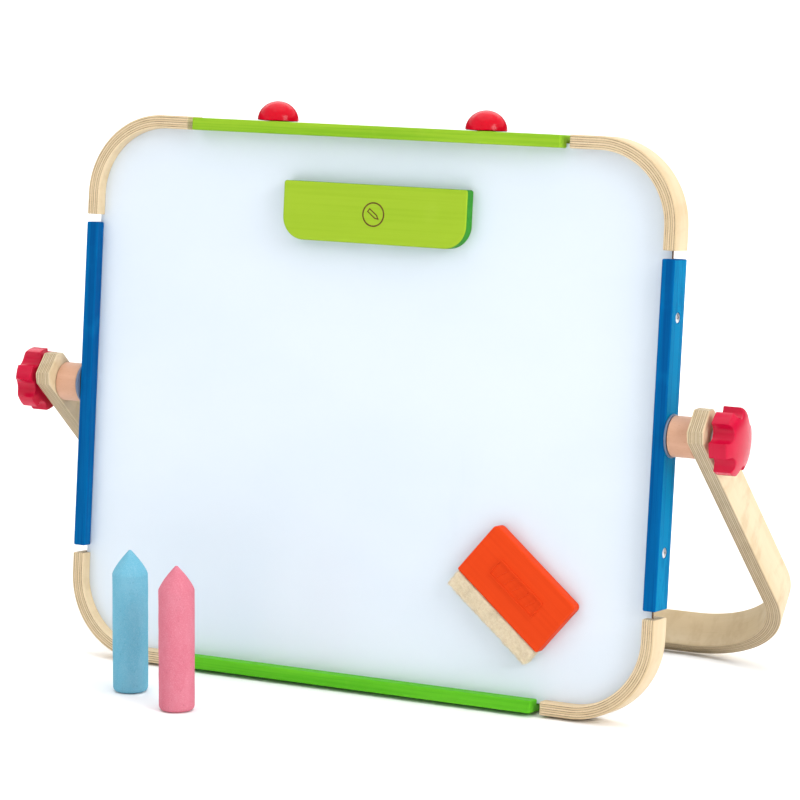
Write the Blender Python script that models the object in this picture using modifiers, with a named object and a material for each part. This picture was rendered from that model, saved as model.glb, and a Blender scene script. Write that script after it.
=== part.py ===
"""Tabletop two-sided kids easel: a magnetic panel in a ring of eight frame members, carried by a bent-ply stand.

Units are metres, +Z is up, the whiteboard faces -Y and the origin lies on the table at the middle of the
bounding box. Everything on the board is laid out in board axes (across, back, up) and then tilted back.
"""
import math

import bmesh
import bpy
from mathutils import Matrix, Vector

# ---------------------------------------------------------------- driving dimensions
GAP = 0.0003                    # clearance between pieces that touch

BOARD_WIDTH = 0.395
BOARD_HEIGHT = 0.340
BOARD_TILT = math.radians(5.25)
ORIGIN_BACK = -0.0484           # where the board's lower edge stands, front to back

MEMBER_FACE = 0.0081            # frame member, across its front face
MEMBER_DEPTH = 0.0190           # frame member, front to back
CORNER_RADIUS = 0.051
MEMBER_EASE = 0.0008
JOINT_GAP = 0.0048              # open gap between a rail and the next arc
TOP_RAIL_LENGTH = 0.2464
SIDE_RAIL_LENGTH = 0.2034
TOP_RAIL_FACE = 0.0076
TOP_RAIL_DEPTH = 0.0248         # the green rails stand proud at the front and at the back
TOP_RAIL_INSET = 0.0005
GROOVE_WIDTH = 0.0038
GROOVE_DEPTH = 0.0034

PANEL_CORE = 0.0016             # hardboard
SHEET = 0.0005                  # writing sheets on either side
PANEL_EDGE = 0.0050             # how far the panel stays inside the frame's outline

RAIL_SCREW_HEAD = 0.0031
RAIL_SCREW_SHANK = 0.0014
RAIL_SCREW_OFFSET = 0.0680

DOME_RADIUS = 0.0126
DOME_HEIGHT = 0.0120
DOME_PEG = 0.0030
DOME_SPREAD = 0.0700

PIVOT_WASHER_RADIUS = 0.0128
PIVOT_WASHER = 0.0012
SPACER_RADIUS = 0.0120
SPACER_LENGTH = 0.0148
BOLT_RADIUS = 0.0030
BOLT_CLEARANCE = 0.0034
INSERT_RADIUS = 0.0046
KNOB_WASHER_RADIUS = 0.0085
KNOB_WASHER = 0.0012
KNOB_RADIUS = 0.0198
KNOB_HUB = 0.0018
KNOB_SKIRT = 0.0092
KNOB_DOME = 0.0062
KNOB_LOBES = 6
KNOB_SCALLOP = 0.0055

STAND_THICKNESS = 0.0100
STAND_WIDTH = 0.0245
STAND_REACH = 0.2400            # pivot to the outer face of the cross bar
STAND_BEND = 0.0790             # outer radius of the two lower bends
STAND_HEAD = 0.0185
STAND_HEAD_FLAT = 0.0148
STAND_HEAD_CHAMFER = 0.0050

CLIP_WIDTH = 0.1230
CLIP_HEIGHT = 0.0354
CLIP_THICKNESS = 0.0088
CLIP_CORNER = 0.0140
CLIP_CENTRE = (0.0035, 0.2868)  # across, up the board
CLIP_MAGNET_SPREAD = 0.0420

ERASER_LENGTH = 0.0696
ERASER_HEIGHT = 0.0376
ERASER_THICKNESS = 0.0090
ERASER_FELT = 0.0110
ERASER_CENTRE = (0.1095, 0.0732)
ERASER_TURN = math.radians(-39.5)
MAGNET_RADIUS = 0.0060
MAGNET_THICKNESS = 0.0026

CHALK_RADIUS = 0.0108
CHALK_HEIGHT = 0.0865
CHALK_POINT = 0.0150
CHALK_PLACES = {"chalk_blue": (-0.1158, -0.0683), "chalk_pink": (-0.0683, -0.0938)}

ROUND_STEPS = 40
ARC_STEPS = 14

COLOURS = {
    "birch_ply": (0.83, 0.66, 0.42, 0.55, 0.0),
    "green_paint": (0.16, 0.45, 0.03, 0.42, 0.0),
    "blue_paint": (0.01, 0.17, 0.45, 0.42, 0.0),
    "hardboard": (0.16, 0.08, 0.04, 0.75, 0.0),
    "white_enamel": (0.84, 0.88, 0.93, 0.18, 0.0),
    "chalkboard": (0.03, 0.04, 0.04, 0.85, 0.0),
    "red_paint": (0.62, 0.01, 0.03, 0.25, 0.0),
    "red_plastic": (0.66, 0.01, 0.04, 0.25, 0.0),
    "beech": (0.71, 0.42, 0.26, 0.55, 0.0),
    "grey_plastic": (0.38, 0.42, 0.50, 0.45, 0.0),
    "zinc_steel": (0.62, 0.63, 0.64, 0.30, 1.0),
    "brass": (0.72, 0.55, 0.25, 0.32, 1.0),
    "lime_paint": (0.37, 0.61, 0.03, 0.40, 0.0),
    "ferrite": (0.06, 0.06, 0.06, 0.55, 0.0),
    "orange_paint": (0.83, 0.07, 0.01, 0.45, 0.0),
    "felt": (0.76, 0.62, 0.38, 0.95, 0.0),
    "chalk_blue_mix": (0.19, 0.46, 0.62, 0.90, 0.0),
    "chalk_pink_mix": (0.78, 0.22, 0.30, 0.90, 0.0),
}

# ---------------------------------------------------------------- derived places
HALF_WIDTH = BOARD_WIDTH / 2
HALF_DEPTH = MEMBER_DEPTH / 2
MID_HEIGHT = BOARD_HEIGHT / 2
SHEET_FACE = PANEL_CORE / 2 + GAP + SHEET
BOARD_MATRIX = (
    Matrix.Translation((0.0, ORIGIN_BACK, HALF_DEPTH * math.sin(BOARD_TILT)))
    @ Matrix.Rotation(-BOARD_TILT, 4, "X")
)
PIVOT = BOARD_MATRIX @ Vector((0.0, 0.0, MID_HEIGHT))

WASHER_X = HALF_WIDTH + GAP
SPACER_X = WASHER_X + PIVOT_WASHER + GAP
ARM_X = SPACER_X + SPACER_LENGTH + GAP
KNOB_WASHER_X = ARM_X + STAND_THICKNESS + GAP
KNOB_X = KNOB_WASHER_X + KNOB_WASHER + GAP

# The front lower edge of the cross bar stands on the table: reach*cos(s) + width/2*sin(s) = pivot height.
STAND_DIAGONAL = math.hypot(STAND_REACH, STAND_WIDTH / 2)
STAND_SWING = math.acos(PIVOT.z / STAND_DIAGONAL) + math.atan2(STAND_WIDTH / 2, STAND_REACH)

# ---------------------------------------------------------------- collections and materials
for leftover in list(bpy.data.objects):
    bpy.data.objects.remove(leftover, do_unlink=True)

easel = bpy.data.collections.new("kids_easel")
cutters = bpy.data.collections.new("kids_easel_cutters")
bpy.context.scene.collection.children.link(easel)
bpy.context.scene.collection.children.link(cutters)


def make_material(name, red, green, blue, roughness, metallic):
    material = bpy.data.materials.new(name)
    material.use_nodes = True
    shader = material.node_tree.nodes["Principled BSDF"]
    shader.inputs["Base Color"].default_value = (red, green, blue, 1.0)
    shader.inputs["Roughness"].default_value = roughness
    shader.inputs["Metallic"].default_value = metallic
    material.diffuse_color = (red, green, blue, 1.0)
    return material


# ---------------------------------------------------------------- mesh helpers
def mesh_object(name, verts, faces, smooth_angle=None):
    """A closed mesh from points and faces, wound outwards."""
    mesh = bpy.data.meshes.new(name)
    mesh.from_pydata([tuple(v) for v in verts], [], faces)
    work = bmesh.new()
    work.from_mesh(mesh)
    bmesh.ops.recalc_face_normals(work, faces=work.faces)
    if smooth_angle is not None:
        for face in work.faces:
            face.smooth = True
        for edge in work.edges:
            edge.smooth = edge.calc_face_angle(0.0) < smooth_angle
    work.to_mesh(mesh)
    work.free()
    return bpy.data.objects.new(name, mesh)


def prism(name, outline, low, high, axis="Y", smooth_angle=None):
    """An outline drawn in (across, up) and run from low to high along Y, or drawn in (Y, Z) and run along X."""
    count = len(outline)
    if axis == "Y":
        verts = [(a, low, b) for a, b in outline] + [(a, high, b) for a, b in outline]
    elif axis == "X":
        verts = [(low, a, b) for a, b in outline] + [(high, a, b) for a, b in outline]
    else:
        verts = [(a, b, low) for a, b in outline] + [(a, b, high) for a, b in outline]
    faces = [tuple(range(count)), tuple(range(2 * count - 1, count - 1, -1))]
    for i in range(count):
        j = (i + 1) % count
        faces.append((i, i + count, j + count, j))
    return mesh_object(name, verts, faces, smooth_angle)


def lathe(name, profile, axis="Z", steps=ROUND_STEPS, smooth_angle=math.radians(35)):
    """A solid of revolution from (radius, height) points; points of zero radius become poles."""
    verts, rings = [], []
    for radius, height in profile:
        if radius < 1e-7:
            rings.append([len(verts)])
            verts.append((0.0, 0.0, height))
            continue
        rings.append(list(range(len(verts), len(verts) + steps)))
        for i in range(steps):
            turn = 2 * math.pi * i / steps
            verts.append((radius * math.cos(turn), radius * math.sin(turn), height))
    faces = []
    pairs = list(zip(rings, rings[1:]))
    if len(rings[0]) > 1:
        pairs.append((rings[-1], rings[0]))
    for first, second in pairs:
        for i in range(steps):
            j = (i + 1) % steps
            quad = [first[i % len(first)], first[j % len(first)], second[j % len(second)], second[i % len(second)]]
            face = tuple(dict.fromkeys(quad))
            if len(face) > 2:
                faces.append(face)
    if axis == "X":
        verts = [(z, x, y) for x, y, z in verts]
    elif axis == "Y":
        verts = [(y, z, x) for x, y, z in verts]
    return mesh_object(name, verts, faces, smooth_angle)


def arc_points(cx, cy, radius, start, end, steps=ARC_STEPS):
    """Points along a circular arc, both ends included; angles in degrees."""
    turns = [math.radians(start + (end - start) * i / steps) for i in range(steps + 1)]
    return [(cx + radius * math.cos(t), cy + radius * math.sin(t)) for t in turns]


def rounded_outline(half_width, half_height, radii, steps=ARC_STEPS):
    """A rectangle about its middle with one radius per corner: upper right, upper left, lower left, lower right."""
    outline = []
    for radius, sx, sy, start in zip(radii, (1, -1, -1, 1), (1, 1, -1, -1), (0, 90, 180, 270)):
        cx, cy = sx * (half_width - radius), sy * (half_height - radius)
        outline += arc_points(cx, cy, radius, start, start + 90, steps)
    return outline


def soften(obj, width, segments=2, angle=35):
    bevel = obj.modifiers.new("eased_edges", "BEVEL")
    bevel.width = width
    bevel.segments = segments
    bevel.limit_method = "ANGLE"
    bevel.angle_limit = math.radians(angle)
    return obj


def cut(obj, cutter):
    """Take a cutter away from a piece; the cutter goes with the other cutters, at the piece's own place."""
    cutters.objects.link(cutter)
    cutter.hide_render = True
    cutter.display_type = "WIRE"
    boolean = obj.modifiers.new(cutter.name, "BOOLEAN")
    boolean.operation = "DIFFERENCE"
    boolean.solver = "EXACT"
    boolean.object = cutter
    obj["cutters"] = list(obj.get("cutters", [])) + [cutter.name]
    return obj


def place(obj, material, matrix):
    """Put a finished piece, and the cutters that belong to it, where it goes."""
    easel.objects.link(obj)
    obj.data.materials.append(materials[material])
    obj.matrix_world = matrix
    for name in obj.get("cutters", []):
        bpy.data.objects[name].matrix_world = matrix
    if "cutters" in obj:
        del obj["cutters"]
    return obj


def on_board(obj, material, across=0.0, forward=0.0, up=0.0, turn=0.0):
    """Board axes: across to the right, forward out of the whiteboard, up the board."""
    spot = Matrix.Translation((across, -forward, up)) @ Matrix.Rotation(-turn, 4, "Y")
    return place(obj, material, BOARD_MATRIX @ spot)


def box_outline(half_width, half_height):
    return [(-half_width, -half_height), (half_width, -half_height), (half_width, half_height), (-half_width, half_height)]


materials = {name: make_material(name, *values) for name, values in COLOURS.items()}

# ---------------------------------------------------------------- panel: hardboard core and two writing sheets
core_half_width = HALF_WIDTH - PANEL_EDGE
core_half_height = MID_HEIGHT - PANEL_EDGE
core_outline = rounded_outline(core_half_width, core_half_height, [CORNER_RADIUS - PANEL_EDGE] * 4)
core = prism("panel_core", core_outline, -PANEL_CORE / 2, PANEL_CORE / 2)
on_board(core, "hardboard", up=MID_HEIGHT)

sheet_outline = rounded_outline(
    core_half_width - GAP, core_half_height - GAP, [CORNER_RADIUS - PANEL_EDGE - GAP] * 4
)
for name, material, side in (("whiteboard_sheet", "white_enamel", 1), ("chalkboard_sheet", "chalkboard", -1)):
    sheet = prism(name, sheet_outline, -SHEET / 2, SHEET / 2)
    on_board(sheet, material, forward=side * (SHEET_FACE - SHEET / 2), up=MID_HEIGHT)

# ---------------------------------------------------------------- four bent-ply corner arcs
straight_across = HALF_WIDTH - CORNER_RADIUS - (TOP_RAIL_LENGTH / 2 + JOINT_GAP)
straight_up = MID_HEIGHT - CORNER_RADIUS - (SIDE_RAIL_LENGTH / 2 + JOINT_GAP)


def arc_band(outer, inner, run_across, run_up):
    """Half a stadium: a quarter ring with a short straight run at either end, about the bend's centre."""
    outside = [(outer, -run_up)] + arc_points(0, 0, outer, 0, 90) + [(-run_across, outer)]
    inside = [(inner, -run_up)] + arc_points(0, 0, inner, 0, 90) + [(-run_across, inner)]
    return outside + inside[::-1]


groove_outer = CORNER_RADIUS - MEMBER_FACE + GROOVE_DEPTH
for vertical, sy in (("upper", 1), ("lower", -1)):
    for horizontal, sx in (("left", -1), ("right", 1)):
        name = "corner_arc_" + vertical + "_" + horizontal
        band = arc_band(CORNER_RADIUS, CORNER_RADIUS - MEMBER_FACE, straight_across, straight_up)
        slot = arc_band(groove_outer, CORNER_RADIUS - 2 * MEMBER_FACE, straight_across + 0.01, straight_up + 0.01)
        band = [(sx * a, sy * b) for a, b in band]
        slot = [(sx * a, sy * b) for a, b in slot]
        arc = soften(prism(name, band, -HALF_DEPTH, HALF_DEPTH, smooth_angle=math.radians(20)), MEMBER_EASE)
        cut(arc, prism(name + "_groove", slot, -GROOVE_WIDTH / 2, GROOVE_WIDTH / 2))
        centre_across = sx * (HALF_WIDTH - CORNER_RADIUS)
        centre_up = MID_HEIGHT + sy * (MID_HEIGHT - CORNER_RADIUS)
        on_board(arc, "birch_ply", across=centre_across, up=centre_up)

# ---------------------------------------------------------------- rails: green above and below, blue at the sides
for name, sign in (("top_rail", 1), ("bottom_rail", -1)):
    outline = box_outline(TOP_RAIL_LENGTH / 2, TOP_RAIL_FACE / 2)
    rail = soften(prism(name, outline, -TOP_RAIL_DEPTH / 2, TOP_RAIL_DEPTH / 2), MEMBER_EASE)
    middle = MID_HEIGHT + sign * (MID_HEIGHT - TOP_RAIL_INSET - TOP_RAIL_FACE / 2)
    groove_floor = MID_HEIGHT + sign * (MID_HEIGHT - MEMBER_FACE + GROOVE_DEPTH)
    groove_half = 0.010
    groove = box_outline(TOP_RAIL_LENGTH / 2 + 0.01, groove_half)
    groove = [(a, b + groove_floor - sign * groove_half - middle) for a, b in groove]
    cut(rail, prism(name + "_groove", groove, -GROOVE_WIDTH / 2, GROOVE_WIDTH / 2))
    if sign > 0:
        for side, sx in (("left", -1), ("right", 1)):
            peg_floor = TOP_RAIL_FACE / 2 - DOME_PEG - GAP
            profile = [(0, peg_floor), (DOME_PEG + GAP, peg_floor), (DOME_PEG + GAP, 0.02), (0, 0.02)]
            hole = lathe("dome_hole_" + side, profile, steps=24)
            hole.data.transform(Matrix.Translation((sx * DOME_SPREAD, 0, 0)))
            cut(rail, hole)
    on_board(rail, "green_paint", up=middle)

side_middle = HALF_WIDTH - MEMBER_FACE / 2
for side, sx in (("left", -1), ("right", 1)):
    outline = box_outline(MEMBER_FACE / 2, SIDE_RAIL_LENGTH / 2)
    rail = soften(prism(side + "_rail", outline, -HALF_DEPTH, HALF_DEPTH), MEMBER_EASE)
    groove_half = 0.010
    groove = box_outline(groove_half, SIDE_RAIL_LENGTH / 2 + 0.01)
    shift = sx * (MEMBER_FACE / 2 - MEMBER_FACE + GROOVE_DEPTH - groove_half)
    groove = [(a + shift, b) for a, b in groove]
    cut(rail, prism(side + "_rail_groove", groove, -GROOVE_WIDTH / 2, GROOVE_WIDTH / 2))

    # hole for the threaded insert at mid height, and two countersunk screw holes
    inner = MEMBER_FACE / 2 - MEMBER_FACE + GROOVE_DEPTH + 0.0006
    radius = INSERT_RADIUS + GAP
    profile = [(0, inner), (radius, inner), (radius, 0.02), (0, 0.02)]
    profile = [(r, sx * h) for r, h in profile]
    cut(rail, lathe(side + "_insert_hole", profile, axis="X", steps=32))
    for level, sy in (("upper", 1), ("lower", -1)):
        head, shank = RAIL_SCREW_HEAD + GAP, RAIL_SCREW_SHANK + GAP
        face = MEMBER_FACE / 2
        profile = [(0, inner), (shank, inner), (shank, face - 0.0021), (head, face - 0.0006), (head, 0.02), (0, 0.02)]
        hole = lathe(side + "_screw_hole_" + level, [(r, sx * h) for r, h in profile], axis="X", steps=24)
        hole.data.transform(Matrix.Translation((0, 0, sy * RAIL_SCREW_OFFSET)))
        cut(rail, hole)

        tip = inner + GAP
        profile = [(0, tip), (shank - GAP, tip), (shank - GAP, face - 0.0021), (head - GAP, face - 0.0006),
                   (head - GAP, face - 0.0002), (head - 0.0010, face), (0, face)]
        screw = lathe("rail_screw_" + side + "_" + level, [(r, sx * h) for r, h in profile], axis="X", steps=24)
        recess = prism(
            "screw_recess_" + side + "_" + level,
            [(-0.0014, -0.00045), (0.0014, -0.00045), (0.0014, 0.00045), (-0.0014, 0.00045)],
            sx * (face - 0.0006), sx * (face + 0.001), axis="X",
        )
        cut(screw, recess)
        on_board(screw, "zinc_steel", across=sx * side_middle, up=MID_HEIGHT + sy * RAIL_SCREW_OFFSET)
    on_board(rail, "blue_paint", across=sx * side_middle, up=MID_HEIGHT)

# ---------------------------------------------------------------- red domes pegged into the top rail
rail_top = BOARD_HEIGHT - TOP_RAIL_INSET
for side, sx in (("left", -1), ("right", 1)):
    cap = []
    for i in range(11):
        turn = math.pi / 2 * i / 10
        cap.append((DOME_RADIUS * math.cos(turn), GAP + DOME_HEIGHT * math.sin(turn)))
    profile = [(0, -DOME_PEG), (DOME_PEG, -DOME_PEG), (DOME_PEG, GAP)] + cap[:-1] + [(0, GAP + DOME_HEIGHT)]
    on_board(lathe("dome_" + side, profile), "red_paint", across=sx * DOME_SPREAD, up=rail_top)

# ---------------------------------------------------------------- pivots: insert, washer, spacer, bolt, washer, knob
insert_inner = HALF_WIDTH - (MEMBER_FACE - GROOVE_DEPTH - 0.0006) + GAP


def ring(name, outer, inner, low, high, steps=ROUND_STEPS):
    """A washer or sleeve between two places across the board, with the pivot axis as its own axis."""
    lip = min(0.0003, (high - low) / 4)
    profile = [(inner, low), (outer - lip, low), (outer, low + lip), (outer, high - lip), (outer - lip, high), (inner, high)]
    return lathe(name, profile, axis="X", steps=steps)


for side, sx in (("left", -1), ("right", 1)):
    facing = Matrix.Identity(4) if sx > 0 else Matrix.Rotation(math.pi, 4, "Y")

    def on_pivot(obj, material, facing=facing):
        for name in [obj.name] + list(obj.get("cutters", [])):
            bpy.data.objects[name].data.transform(facing)
        return on_board(obj, material, up=MID_HEIGHT)

    insert = ring("pivot_insert_" + side, INSERT_RADIUS, BOLT_RADIUS + GAP, insert_inner, HALF_WIDTH - GAP, 32)
    on_pivot(insert, "brass")
    washer = ring("pivot_washer_" + side, PIVOT_WASHER_RADIUS, BOLT_CLEARANCE, WASHER_X, WASHER_X + PIVOT_WASHER)
    on_pivot(washer, "grey_plastic")
    spacer = ring("spacer_" + side, SPACER_RADIUS, BOLT_CLEARANCE, SPACER_X, SPACER_X + SPACER_LENGTH)
    on_pivot(spacer, "beech")
    washer = ring("knob_washer_" + side, KNOB_WASHER_RADIUS, BOLT_CLEARANCE, KNOB_WASHER_X, KNOB_WASHER_X + KNOB_WASHER)
    on_pivot(washer, "zinc_steel")

    bolt_end = KNOB_X + 0.0110
    profile = [(0, insert_inner), (BOLT_RADIUS, insert_inner), (BOLT_RADIUS, bolt_end - 0.0006),
               (BOLT_RADIUS - 0.0006, bolt_end), (0, bolt_end)]
    on_pivot(lathe("pivot_bolt_" + side, profile, axis="X", steps=32), "zinc_steel")

    # star knob: hub, scalloped skirt and a smooth domed face, blind bore for the bolt
    skirt_low = KNOB_X + KNOB_HUB
    skirt_high = skirt_low + KNOB_SKIRT
    face = [(KNOB_RADIUS * math.cos(t), skirt_high + KNOB_DOME * math.sin(t))
            for t in [math.pi / 2 * i / 8 for i in range(8)]]
    profile = [(0, KNOB_X), (0.0095, KNOB_X), (0.0100, skirt_low), (KNOB_RADIUS - 0.0008, skirt_low),
               (KNOB_RADIUS, skirt_low + 0.0008)] + face + [(0, skirt_high + KNOB_DOME)]
    knob = lathe("knob_" + side, profile, axis="X", steps=72)
    for i in range(KNOB_LOBES):
        turn = math.radians(16 + 360 / KNOB_LOBES * i)
        notch = lathe(
            "knob_notch_" + side + "_" + str(i),
            [(0, skirt_low - 0.001), (KNOB_SCALLOP, skirt_low - 0.001),
             (KNOB_SCALLOP, skirt_high + 0.01), (0, skirt_high + 0.01)],
            axis="X", steps=28,
        )
        notch.data.transform(Matrix.Translation((0, -KNOB_RADIUS * math.cos(turn), KNOB_RADIUS * math.sin(turn))))
        cut(knob, notch)
    bore_end = bolt_end + GAP
    bore = lathe(
        "knob_bore_" + side,
        [(0, KNOB_X - 0.005), (BOLT_RADIUS + GAP, KNOB_X - 0.005), (BOLT_RADIUS + GAP, bore_end), (0, bore_end)],
        axis="X", steps=32,
    )
    cut(knob, bore)
    on_pivot(knob, "red_plastic")

# ---------------------------------------------------------------- bent-ply stand, laid out hanging straight down
outer_x = ARM_X + STAND_THICKNESS
bend_centre = (outer_x - STAND_BEND, -(STAND_REACH - STAND_BEND))


def half_bow(inset):
    """Right half of the bow's edge line, from the arm head down to the cross bar."""
    radius = STAND_BEND - inset
    bend = arc_points(bend_centre[0], bend_centre[1], radius, 0, -90, 22)
    return [(outer_x - inset, STAND_HEAD)] + bend


outside = half_bow(0.0)
inside = half_bow(STAND_THICKNESS)
bow_outline = outside + [(-a, b) for a, b in outside[::-1]]
bow_outline += [(-a, b) for a, b in inside] + inside[::-1]
bow = prism("stand_bow", bow_outline, -STAND_WIDTH / 2, STAND_WIDTH / 2, smooth_angle=math.radians(20))
corner_low = STAND_HEAD - STAND_HEAD_CHAMFER
for side, sy in (("front", -1), ("back", 1)):
    wedge = [(sy * STAND_HEAD_FLAT / 2, STAND_HEAD), (sy * STAND_WIDTH / 2, corner_low),
             (sy * 0.030, corner_low), (sy * 0.030, 0.030), (sy * STAND_HEAD_FLAT / 2, 0.030)]
    cut(bow, prism("head_chamfer_" + side, wedge, -0.3, 0.3, axis="X"))
hole_profile = [(0, -0.3), (BOLT_CLEARANCE, -0.3), (BOLT_CLEARANCE, 0.3), (0, 0.3)]
cut(bow, lathe("bow_pivot_hole", hole_profile, axis="X", steps=32))
soften(bow, MEMBER_EASE)
place(bow, "birch_ply", Matrix.Translation(PIVOT) @ Matrix.Rotation(STAND_SWING, 4, "X"))

# ---------------------------------------------------------------- magnets, clip and eraser on the whiteboard


def magnet_pocket(name, across, up, thickness):
    """Cutter for a blind round pocket in the back of a piece that is drawn about its own middle depth."""
    profile = [(0, thickness / 2 - MAGNET_THICKNESS - GAP), (MAGNET_RADIUS + GAP, thickness / 2 - MAGNET_THICKNESS - GAP),
               (MAGNET_RADIUS + GAP, thickness / 2 + 0.01), (0, thickness / 2 + 0.01)]
    pocket = lathe(name, profile, axis="Y", steps=32)
    pocket.data.transform(Matrix.Translation((across, 0, up)))
    return pocket


def magnet(name, offset, centre, turn=0.0):
    """A disc let into the back of a magnetic piece, flush with it."""
    profile = [(0, 0), (MAGNET_RADIUS - 0.0003, 0), (MAGNET_RADIUS, 0.0003), (MAGNET_RADIUS, MAGNET_THICKNESS),
               (0, MAGNET_THICKNESS)]
    disc = lathe(name, profile, axis="Y", steps=32)
    disc.data.transform(Matrix.Translation((offset, -MAGNET_THICKNESS, 0)))
    on_board(disc, "ferrite", across=centre[0], forward=SHEET_FACE + GAP, up=centre[1], turn=turn)


clip = prism(
    "clip_plate",
    rounded_outline(CLIP_WIDTH / 2, CLIP_HEIGHT / 2, [0.002, 0.002, CLIP_CORNER, CLIP_CORNER], 8),
    -CLIP_THICKNESS / 2, CLIP_THICKNESS / 2, smooth_angle=math.radians(20),
)
soften(clip, 0.0010)
for side, sx in (("left", -1), ("right", 1)):
    cut(clip, magnet_pocket("clip_pocket_" + side, sx * CLIP_MAGNET_SPREAD, 0.0, CLIP_THICKNESS))
    magnet("clip_magnet_" + side, sx * CLIP_MAGNET_SPREAD, CLIP_CENTRE)
on_board(clip, "lime_paint", across=CLIP_CENTRE[0], forward=SHEET_FACE + GAP + CLIP_THICKNESS / 2, up=CLIP_CENTRE[1])

block = prism(
    "eraser_block", rounded_outline(ERASER_LENGTH / 2, ERASER_HEIGHT / 2, [0.003, 0.003, 0.0008, 0.0008], 4),
    -ERASER_THICKNESS / 2, ERASER_THICKNESS / 2, smooth_angle=math.radians(25),
)
soften(block, 0.0010)
for side, sx in (("left", -1), ("right", 1)):
    cut(block, magnet_pocket("eraser_pocket_" + side, sx * ERASER_LENGTH / 4, 0.0, ERASER_THICKNESS))
    magnet("eraser_magnet_" + side, sx * ERASER_LENGTH / 4, ERASER_CENTRE, ERASER_TURN)
eraser_forward = SHEET_FACE + GAP + ERASER_THICKNESS / 2
on_board(block, "orange_paint", ERASER_CENTRE[0], eraser_forward, ERASER_CENTRE[1], ERASER_TURN)

felt = prism(
    "eraser_felt", box_outline(ERASER_LENGTH / 2 - 0.0010, ERASER_FELT / 2),
    -ERASER_THICKNESS / 2 + 0.0008, ERASER_THICKNESS / 2 - 0.0008,
)
soften(felt, 0.0012)
felt_drop = ERASER_HEIGHT / 2 + GAP + ERASER_FELT / 2
felt_across = ERASER_CENTRE[0] + felt_drop * math.sin(ERASER_TURN)
felt_up = ERASER_CENTRE[1] - felt_drop * math.cos(ERASER_TURN)
on_board(felt, "felt", felt_across, eraser_forward, felt_up, ERASER_TURN)

# ---------------------------------------------------------------- two sticks of chalk standing in front
for name, (across, forward) in CHALK_PLACES.items():
    shoulder = CHALK_HEIGHT - CHALK_POINT
    point = [(CHALK_RADIUS * (1 - t ** 1.5), shoulder + CHALK_POINT * t) for t in (0.0, 0.2, 0.4, 0.6, 0.78, 0.92)]
    profile = [(0, 0), (CHALK_RADIUS - 0.0035, 0), (CHALK_RADIUS - 0.0010, 0.0010), (CHALK_RADIUS, 0.0035)]
    profile += point + [(0, CHALK_HEIGHT)]
    stick = lathe(name, profile, smooth_angle=math.radians(50))
    place(stick, name + "_mix", Matrix.Translation((across, ORIGIN_BACK + forward, 0.0)))
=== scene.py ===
"""Looks for the kids easel: finished geometry, materials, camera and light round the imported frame."""
import math

import bmesh
import bpy
import numpy as np
from mathutils import Matrix, Vector


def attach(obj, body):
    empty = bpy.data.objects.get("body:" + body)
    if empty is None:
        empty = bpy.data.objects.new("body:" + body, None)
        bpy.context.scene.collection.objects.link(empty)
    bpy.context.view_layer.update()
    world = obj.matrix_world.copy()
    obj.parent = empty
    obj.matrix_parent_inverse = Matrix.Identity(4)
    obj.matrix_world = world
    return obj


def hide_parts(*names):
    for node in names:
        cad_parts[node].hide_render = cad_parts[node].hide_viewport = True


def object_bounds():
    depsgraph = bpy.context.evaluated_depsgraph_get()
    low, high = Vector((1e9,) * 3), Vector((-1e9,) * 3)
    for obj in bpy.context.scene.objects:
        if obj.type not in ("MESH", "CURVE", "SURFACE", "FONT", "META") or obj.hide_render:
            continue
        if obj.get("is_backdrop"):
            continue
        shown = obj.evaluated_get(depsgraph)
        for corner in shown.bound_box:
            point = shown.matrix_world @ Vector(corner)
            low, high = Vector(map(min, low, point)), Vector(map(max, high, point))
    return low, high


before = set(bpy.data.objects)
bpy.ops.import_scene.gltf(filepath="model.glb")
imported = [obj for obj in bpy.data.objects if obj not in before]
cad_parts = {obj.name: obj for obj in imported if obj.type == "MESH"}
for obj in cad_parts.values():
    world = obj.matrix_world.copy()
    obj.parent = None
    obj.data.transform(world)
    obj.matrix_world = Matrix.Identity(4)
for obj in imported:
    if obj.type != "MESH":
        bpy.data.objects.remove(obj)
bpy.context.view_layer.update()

# ---- sizes, the same as the frame's
GAP = 0.0003
WIDTH, HEIGHT = 0.395, 0.340
TILT = math.radians(5.25)
BACK = -0.0484
EASE_END = 0.0005
FACE, DEPTH, CORNER, EASE = 0.0081, 0.0190, 0.051, 0.0009
JOINT, TOP_LENGTH, SIDE_LENGTH = 0.0048, 0.2464, 0.2034
TOP_FACE, TOP_DEPTH, TOP_INSET = 0.0076, 0.0248, 0.0005
GROOVE, GROOVE_DEPTH = 0.0038, 0.0034
CORE, SHEET, PANEL_EDGE = 0.0016, 0.0005, 0.0050
SCREW_HEAD, SCREW_OFFSET = 0.0031, 0.0680
SCREW_STEM, SCREW_FOOT = 0.0014, 0.0013
CROSS_REACH, CROSS_HALF, CROSS_DEPTH = 0.0017, 0.00038, 0.0009
DOME_RADIUS, DOME_HEIGHT, DOME_SPREAD = 0.0126, 0.0120, 0.0700
WASHER_RADIUS, WASHER, SPACER_RADIUS, SPACER = 0.0128, 0.0012, 0.0120, 0.0148
BOLT, BOLT_HOLE, KNOB_WASHER_RADIUS = 0.0030, 0.0034, 0.0085
KNOB_RADIUS, KNOB_HUB, KNOB_SKIRT, KNOB_DOME = 0.0198, 0.0018, 0.0092, 0.0062
KNOB_LOBES, KNOB_SCALLOP = 6, 0.0055
ARM, ARM_WIDTH, REACH, BEND = 0.0100, 0.0245, 0.2400, 0.0790
HEAD, HEAD_FLAT, HEAD_CHAMFER = 0.0185, 0.0148, 0.0050
CLIP_SIZE, CLIP_CORNER, CLIP_CENTRE = (0.1230, 0.0088, 0.0354), 0.0140, (0.0035, 0.2868)
ERASER_SIZE, ERASER_FELT = (0.0696, 0.0090, 0.0376), 0.0110
ERASER_CENTRE, ERASER_TURN = (0.1095, 0.0732), math.radians(-39.5)
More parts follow.
